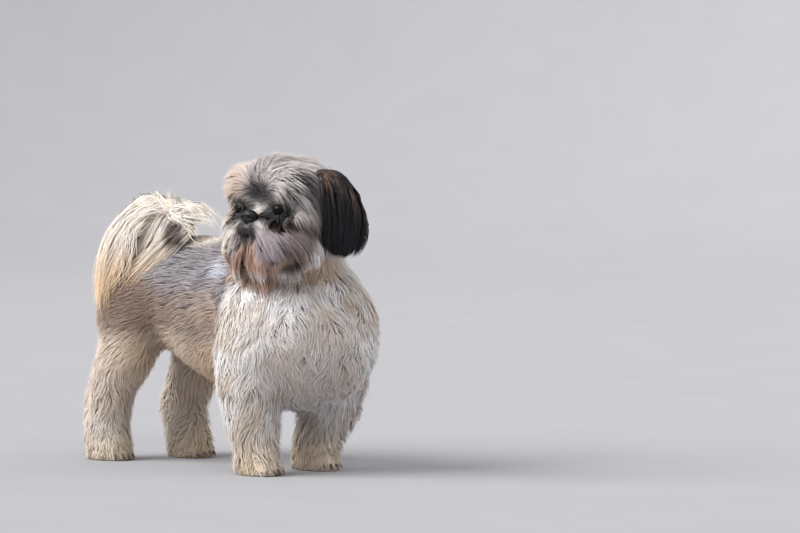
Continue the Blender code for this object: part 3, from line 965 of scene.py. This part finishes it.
def nose_finish():
    """Black nose leather: pebbled by small cells, moist on its front."""
    paint = Paint("nose_leather", Roughness=0.34, Specular_IOR_Level=0.2, Coat_Weight=0.25,
                  Coat_Roughness=0.15)
    place = paint.here()
    cells = paint.node("ShaderNodeTexVoronoi", {"feature": "DISTANCE_TO_EDGE"},
                       {"Vector": place, "Scale": 950.0})
    paint.feed("Base Color", paint.mix(paint.noise(place, 160.0), tone(14, 13, 16), tone(26, 24, 27)))
    paint.bump(paint.step(cells, 0.0, 0.25), 0.6, 0.0005)
    paint.feed("Roughness", 0.30 + 0.25 * paint.noise(place, 300.0))
    return paint.material


def claw_finish():
    """Dark horn, streaked along the claw."""
    paint = Paint("claw", Roughness=0.35, Coat_Weight=0.3)
    streaks = paint.noise(paint.here(), 500.0, 3.0)
    paint.feed("Base Color", paint.mix(streaks, tone(58, 48, 44), tone(110, 96, 86)))
    return paint.material


# ---------------------------------------------------------------- eyes, nose and claws

def eye_mesh(side, swell=0.0006, sides=48):
    """An eyeball round the way it looks: a sphere whose radius grows by swell within the cornea."""
    angle = np.linspace(0, math.pi, 40)[:, None]
    far = EYE_RADIUS + swell * ease(angle, 0.80, 0.45)
    rings = round_gaze(side, angle, turns(sides)[None]) * far[..., None] + eye_middle(side)
    mesh = outward(shell(rings[0, 0], rings[1:-1], rings[-1, 0], head=True))
    gaze = np.concatenate([[0], np.repeat(angle[1:-1, 0], sides), [math.pi]])
    mesh.attributes.new("gaze", "FLOAT", "POINT").data.foreach_set("value", gaze.astype(np.float32))
    return mesh


def nose_mesh():
    """The nose leather: a ball flattened in front, pinched in at the foot, with a groove up its middle and
    a pit shaped like a comma on each side for a nostril.
    """
    mesh = modified(ball((0, 0, 0), (1, 1, 1), head=False, rings=72),
                    ("SUBSURF", {"levels": 1, "render_levels": 1, "subdivision_type": "SIMPLE"}))
    x, y, z = unit(points_of(mesh)).T
    wide = 0.0118 * (1 - 0.20 * ease(z, -0.1, -1.0) - 0.10 * ease(z, 0.3, 1.0))
    shape = np.stack([x * wide, np.sign(y) * np.abs(y) ** 0.80 * 0.0080, z * 0.0088], -1)
    front = ease(y, -0.1, -0.5)
    for side in (-1, 1):
        pit = np.exp(-((x * side - 0.46) / 0.17) ** 2 - ((z + 0.05) / 0.20) ** 2)
        tail = np.exp(-((x * side - 0.70) / 0.16) ** 2 - ((z + 0.18) / 0.10) ** 2)
        shape[:, 1] += front * (0.0042 * pit + 0.0026 * tail)
    groove = np.exp(-(x / 0.07) ** 2) * ease(z, 0.35, -0.2)
    shape[:, 1] += front * groove * 0.0011
    return outward(moved(mesh, to_world(shape + np.array([0, -0.0660, -0.0070]))))


def claws_mesh():
    """A claw before each toe: a tapering tube that leaves it level and curves down to near the floor."""
    profile = mm([(0, 11, 9, 1.9, 1.7), (0, 5, 8, 1.6, 1.6), (0, 1, 5, 1.1, 1.1), (0, 0, 2.2, 0.4, 0.4)])
    tips = [(x + place * 0.0092, y - 0.038 + 0.004 * abs(place), 0, 0, 0) for x, y in FEET for place in TOES]
    return outward(joined([limb(profile + np.array(tip), rings=14) for tip in tips]))


# ---------------------------------------------------------------- the bare dog

skin = shown("skin", skin_mesh(), skin_finish(),
             [*SHELL_NODES, "tail", "ear_left", "ear_right"])
unwrapped(skin)
eye_paint = eye_finish()
for side, word in ((-1, "right"), (1, "left")):
    shown(f"eyeball_{word}", eye_mesh(side), eye_paint, [f"eye_{word}"])
shown("nose_leather", nose_mesh(), nose_finish(), ["nose"])
shown("claws", claws_mesh(), claw_finish())


# ---------------------------------------------------------------- how the coat lies and how long it is

def body_lie(points):
    """Back and down over the trunk, down the legs, the chest and the rump, with a slow swirl everywhere."""
    x, y, z = points.T
    down = 0.45 + 2.0 * ease(y, -0.045, -0.085) + 1.6 * ease(z, 0.15, 0.10) + 0.9 * ease(y, 0.12, 0.17)
    back = 1.0 - 0.9 * ease(y, -0.05, -0.09) - 0.4 * ease(z, 0.13, 0.08) - 0.5 * ease(y, 0.13, 0.18)
    lie = np.stack([x * 0, back, -down], -1)
    swirl = 0.16 + 0.04 * ease(y, -0.05, -0.10) + 0.10 * ease(z, 0.13, 0.10)
    return unit(lie) + swirl[:, None] * drift(points, 0.055, 5)


def head_lie(points):
    """Away from the foot of the brow, falling more and more with the distance down and out."""
    place = to_head(points)
    x, y, z = place.T
    away = unit(place - np.array([0, -0.074, -0.001]))
    fall = 0.20 + 1.3 * ease(z, 0.020, -0.025) + 1.1 * ease(np.abs(x), 0.006, 0.060)
    fall = fall + 0.9 * ease(y, 0.01, 0.05)
    lie = away + np.stack([np.clip(x / 0.03, -1, 1) * 0.45 * ease(z, 0.0, 0.03), x * 0, -fall], -1)
    return head_lies(unit(lie)) + 0.05 * drift(points, 0.06, 8)


def body_length(points):
    """26 mm, 9 mm more on the chest, and just over half as much at the feet."""
    _, y, z = points.T
    chest = ease(y, -0.045, -0.080) * ease(z, 0.09, 0.13)
    return (0.026 + 0.009 * chest) * (0.55 + 0.45 * ease(z, 0.008, 0.05))


def head_length(points):
    """Longest on the crown and the cheeks, short round the eyes, on the bridge and at the lips."""
    place = to_head(points)
    _, y, z = place.T
    length = 0.034 + 0.014 * ease(z, 0.00, 0.04) + 0.014 * ease(z, -0.005, -0.025) * ease(y, -0.060, -0.045)
    for side in (-1, 1):
        eye = np.linalg.norm(place - eye_middle(side), axis=1)
        start = 0.012 if side > 0 else 0.009
        round_eye = 0.006 + 0.036 * ease(eye, start, 0.026) + 0.6 * np.maximum(eye - 0.026, 0)
        length = np.minimum(length, round_eye)
    bridge = within(place, (0, -0.058, 0.000), (0.012, 0.016, 0.012), 0.4)
    lips = within(place, (0, -0.068, -0.022), (0.016, 0.014, 0.014), 0.3)
    return length * (1 - 0.80 * bridge) * (1 - 0.85 * lips)


# ---------------------------------------------------------------- the falls of hair

def stream(share, outer, rows, side=0):
    """A fall of hair: its share of the tufts, the way outwards, and rows of x, y, z, half width and half
    depth down it. With a side, the fall is given in the head's frame for its left side, and -1 mirrors it
    to the right.
    """
    rows, outer = mm(rows), np.array(outer, float)
    if side:
        mirror = [side, 1, 1]
        rows = np.column_stack([to_world(rows[:, :3] * mirror), rows[:, 3:]])
        outer = head_lies(outer * mirror)
    return share, outer, rows


TAIL_FALLS = [
    (1.0, (-1.0, 0.2, 0.5), [
        (-16, 108, 297, 14, 6), (-32, 124, 318, 28, 14), (-46, 141, 288, 45, 26), (-58, 150, 258, 49, 30),
        (-65, 155, 224, 43, 28), (-69, 159, 190, 34, 23), (-71, 162, 162, 22, 12)]),
    (0.8, (0.0, 1.0, 0.4), [
        (-10, 135, 296, 12, 8), (-6, 158, 318, 28, 16), (-8, 174, 286, 40, 22), (-20, 187, 250, 46, 25),
        (-31, 192, 214, 38, 21), (-41, 196, 178, 22, 10)]),
    (0.35, (-0.3, 0.0, 1.0), [
        (-18, 90, 297, 12, 8), (-21, 78, 304, 30, 20), (-21, 56, 298, 30, 19), (-21, 34, 290, 24, 15),
        (-21, 10, 280, 14, 8)]),
    (0.6, (-1.0, -0.3, 0.3), [
        (-20, 76, 298, 8, 6), (-40, 56, 294, 13, 8), (-53, 64, 272, 16, 9), (-65, 92, 246, 18, 9),
        (-73, 120, 220, 18, 8), (-74, 136, 192, 12, 6)]),
    (0.6, (-1.0, -0.1, 0.4), [
        (-18, 90, 297, 10, 6), (-34, 86, 306, 22, 8), (-50, 106, 276, 34, 12), (-62, 127, 246, 34, 12),
        (-70, 142, 214, 28, 9)]),
    (0.5, (0.5, 0.0, 1.0), [
        (-12, 122, 297, 18, 6), (4, 126, 308, 26, 12), (18, 126, 302, 28, 13), (25, 124, 286, 18, 10)]),
    (0.5, (1.0, 0.3, 0.2), [
        (-6, 150, 292, 10, 6), (8, 156, 300, 20, 10), (22, 164, 278, 24, 11), (24, 172, 250, 22, 11),
        (18, 178, 222, 16, 8)]),
    (0.5, (-1.0, 0.0, 0.0), [(-16, 100, 298, 8, 6), (-15, 100, 322, 12, 9), (-20, 96, 340, 19, 13)]),
]
EAR_FALL = [(36, 6, 58, 12, 4), (52, 12, 52, 24, 7), (66, 15, 34, 35, 10), (74, 15, 8, 42, 12),
            (76, 14, -18, 42, 13), (74, 13, -40, 35, 11), (71, 12, -55, 20, 6)]
FACE_FALLS = [
    (1.0, (0.5, -1.0, 0.0), [
        (10, -66, -16, 5, 4), (20, -64, -24, 10, 8), (30, -61, -36, 16, 12), (38, -56, -50, 18, 13),
        (42, -51, -62, 17, 10)]),
    (1.0, (0.9, -0.6, 0.0), [
        (34, -46, -16, 9, 4), (46, -44, -26, 15, 8), (58, -36, -40, 20, 11), (64, -30, -56, 20, 10),
        (62, -24, -70, 16, 8)]),
    (0.8, (0.2, -1.0, 0.0), [
        (8, -62, -36, 8, 4), (12, -65, -52, 14, 8), (15, -63, -72, 17, 10), (16, -57, -92, 15, 8)]),
    (0.8, (0.8, -0.6, 0.0), [
        (26, -40, -36, 10, 4), (36, -45, -54, 17, 8), (41, -42, -73, 19, 10), (41, -36, -90, 16, 8)]),
]
tail_streams = [stream(*fall) for fall in TAIL_FALLS]
ear_streams = {side: [stream(share, (way, -0.15, 0.3 * way), EAR_FALL, side)
                      for share, way in ((1.0, 1), (0.35, -1))] for side in (-1, 1)}
face_streams = [stream(*fall, side) for fall in FACE_FALLS for side in (1, -1)]


# ---------------------------------------------------------------- the coat's pieces

ground = Ground(skin.data)
outline_field = Field(coat_outline())
over_body = (outline_field, body_lie, body_length)
over_head = (outline_field, head_lie, head_length)

# Where each piece grows: weights of the skin's triangles. hx, hy and hz are places in the head's frame.
x, y, z = ground.middles.T
head_place = to_head(ground.middles)
hx, hy, hz = head_place.T
from_tail = ground.middles[:, None] - along_path(TAIL_CORE, 30)[None]
on_tail = (np.linalg.norm(from_tail, axis=2).min(axis=1) < 0.0170) * ease(z, 0.246, 0.252)
hanging = ease(hz, -0.056, -0.052) * ease(np.abs(hy - 0.016), 0.052, 0.048) * (np.abs(hx) < 0.090)
on_ear = {side: hanging * (hx * side > 0.048 + 0.014 * ease(hz, 0.036, 0.004)) for side in (-1, 1)}
off_ears = 1 - (on_ear[-1] + on_ear[1])
on_head = within(head_place, (0, -0.006, 0.000), (0.066, 0.078, 0.062), 0.03)
on_head = np.maximum(on_head, within(head_place, (0, 0.004, 0.030), (0.078, 0.066, 0.044), 0.03)) * off_ears
on_head = on_head * (outline_field.at(ground.middles)[0] < 0.0)
body = (1 - on_tail) * off_ears * (1 - on_head) * (z > 0.004)
body = body * (1 - within(head_place, (0, 0.004, 0.035), (0.090, 0.080, 0.060), 0.02))
chest = ease(y, -0.046, -0.054) * ease(z, 0.105, 0.115)
legs = ease(z, 0.115, 0.105)
fore = ease(y, 0.02, 0.01)
back = body * (1 - legs) * (1 - chest)
muzzle = ease(hz, -0.010, -0.016) * ease(hy, -0.012, -0.022)
muzzle = muzzle * (1 - within(head_place, (0, -0.071, -0.0268), (0.0135, 0.0150, 0.0095), 0.2))
crown = on_head * (1 - muzzle) * (1 + ease(hy, -0.028, -0.034))
temple = 1 + 1.2 * within(head_place, (0.036, -0.012, 0.044), (0.026, 0.030, 0.026))

woolly = {"growth": over_body, "rings": 3, "hug": 0.25, "wave": 0.0012, "pitch": 0.045, "stray": 0.0016,
          "wide": 0.0015, "rise": 0.5}
silky = {"growth": over_body, "rings": 3, "hug": 0.18, "wave": 0.0005, "pitch": 0.05, "rise": 0.45,
         "wide": 0.0014}
wavy = {"growth": over_body, "rings": 4, "hug": 0.10, "wave": 0.0042, "pitch": 0.046, "wide": 0.0020,
        "rise": 0.40, "stray": 0.0017, "bulge": 0.6}
fine = {"growth": over_head, "rings": 3, "hug": 0.16, "wave": 0.0005, "pitch": 0.05, "rise": 0.5,
        "wide": 0.0012, "stray": 0.0006, "lift": 0.9, "carry": 0.45, "under": -0.001, "slant": 1.8}
drooping = {"streams": face_streams, "rings": 4, "hug": 0.4, "wave": 0.0010, "pitch": 0.05, "wide": 0.0010,
            "stray": 0.0010, "carry": 0.9, "ends": (0.74, 1.0), "mixing": 0.5}
hung = {"rings": 5, "hug": 0.3, "wave": 0.0006, "pitch": 0.06, "wide": 0.0014, "stray": 0.0008, "carry": 0.6,
        "reach": (0.88, 1.03), "ends": (0.88, 1.0), "mixing": 0.3}
plumed = {"streams": tail_streams, "rings": 6, "hug": 0.25, "wave": 0.0100, "pitch": 0.120, "wide": 0.0016,
          "carry": 1.0, "stray": 0.0026, "bulge": 1.2}
soft_coat = coat_finish("coat", 0.62, 0.25, markings)
ear_coat = coat_finish("ear_coat", 0.46, 0.02, ear_colours, 0.30)
plume_coat = coat_finish("plume", 0.60, 0.25, tail_colours)
pieces = [
    # name, weights, strands, tufts, finish, slot, and how its locks are made
    ("coat_back_left", back * (x > 0), 7600, 1500, soft_coat, "coat_sable", silky),
    ("coat_back_right", back * (x <= 0), 8900, 1700, soft_coat, "coat_sable", silky),
    ("coat_chest_left", body * chest * (x > -0.01), 4900, 500, soft_coat, "coat_white", wavy),
    ("coat_chest_right", body * chest * (x <= -0.01), 7500, 700, soft_coat, "coat_white", wavy),
    ("coat_forelegs", body * legs * fore, 6600, 800, soft_coat, "coat_white", woolly),
    ("coat_hindlegs", body * legs * (1 - fore), 6000, 700, soft_coat, "coat_white", woolly),
    ("coat_head_left", crown * temple * (hx > 0), 11000, 1700, soft_coat, "coat_silver", fine),
    ("coat_head_right", crown * (hx <= 0), 9600, 1450, soft_coat, "coat_silver", fine),
    ("coat_muzzle", on_head * muzzle, 5900, 420, soft_coat, "coat_rust", drooping),
    ("coat_ear_right", on_ear[-1], 1900, 150, ear_coat, "coat_black", {**hung, "streams": ear_streams[-1]}),
    ("coat_ear_left", on_ear[1], 2800, 220, ear_coat, "coat_black", {**hung, "streams": ear_streams[1]}),
    ("coat_tail", on_tail, 5100, 640, plume_coat, "coat_cream", plumed),
]
for number, (name, weights, count, clumps, finish, slot, how) in enumerate(pieces):
    roots = ground.sown(weights, count, np.random.default_rng(100 + number))
    locks(name, roots, clumps, finish, slot, 200 + number, **how)


# ---------------------------------------------------------------- floor, light and camera

def floor(sides=96):
    """A wide pale floor, slightly mottled, that sweeps up into a low wall all round, far from the dog."""
    turn = turns(sides)
    rise = np.linspace(0, math.pi / 2, 10)
    far = np.concatenate([[5.5], 6.5 + 2.5 * np.sin(rise), [9.0]])[:, None]
    high = np.concatenate([[0.0], 2.5 * (1 - np.cos(rise)), [3.6]])[:, None]
    rings = np.stack([np.cos(turn) * far, np.sin(turn) * far, turn * 0 + high], -1)
    middle = [(0, 1 + i, 1 + (i + 1) % sides) for i in range(sides)]
    mesh = mesh_of("floor", np.vstack([np.zeros((1, 3)), rings.reshape(-1, 3)]),
                   belts(len(far), sides, 1)[:, TURNED], middle)
    mesh.shade_smooth()
    paint = Paint("pale_floor", Roughness=0.85)
    mottle = paint.noise(paint.here(), 6.0)
    paint.feed("Base Color", paint.mix(mottle, tone(170, 170, 173), tone(164, 164, 168)))
    mesh.materials.append(paint.material)
    made = linked("floor", mesh)


def sun(name, place, spread, power):
    """Even light from this direction, as soft as a panel that spreads over this many degrees."""
    light = bpy.data.lights.new(name, "SUN")
    light.angle, light.energy = math.radians(spread), power
    linked(name, light).rotation_euler = (-Vector(place)).to_track_quat("-Z", "Y").to_euler()


def camera():
    """A long lens low before the dog's right shoulder, 40 degrees round and 5 up. It is aimed so that the
    point between the feet falls left of the middle and low in the frame.
    """
    turn, lift, far = math.radians(-40), math.radians(5), 4.94
    foot = Vector((-0.0068, 0.0183, 0.0))
    width, height, focal = 800, 533, 4000.0  # the frame and the lens, in pixels
    foot_right, foot_down = 225.6, 465.3  # where the foot falls in the frame, in pixels
    back = Vector((math.sin(turn) * math.cos(lift), -math.cos(turn) * math.cos(lift), math.sin(lift)))
    across, up = (foot_right - width / 2) / focal, (height / 2 - foot_down) / focal
    yaw = math.atan(across)
    pitch = math.atan(up * math.cos(yaw))
    lens = bpy.data.cameras.new("camera")
    lens.sensor_width, lens.lens = 36.0, 36.0 * focal / width
    made = linked("camera", lens)
    facing = (-back).to_track_quat("-Z", "Y").to_matrix().to_4x4()
    aimed = Matrix.Rotation(yaw, 4, "Y") @ Matrix.Rotation(-pitch, 4, "X")
    made.matrix_world = Matrix.Translation(foot + back * far) @ facing @ aimed
    bpy.context.scene.camera = made


floor()
sun("key", (-2.8, 1.3, 2.3), 50, 4.3)
sun("fill", (2.0, -2.4, 1.5), 70, 0.65)
sun("spark", (-1.6, -2.4, 2.6), 4, 0.35)
camera()
world = bpy.data.worlds.new("studio")
world.use_nodes = True
sky = world.node_tree.nodes["Background"].inputs
sky["Color"].default_value, sky["Strength"].default_value = tone(230, 229, 229), 0.80
bpy.context.scene.world = world
bpy.context.scene.view_settings.view_transform = "Standard"
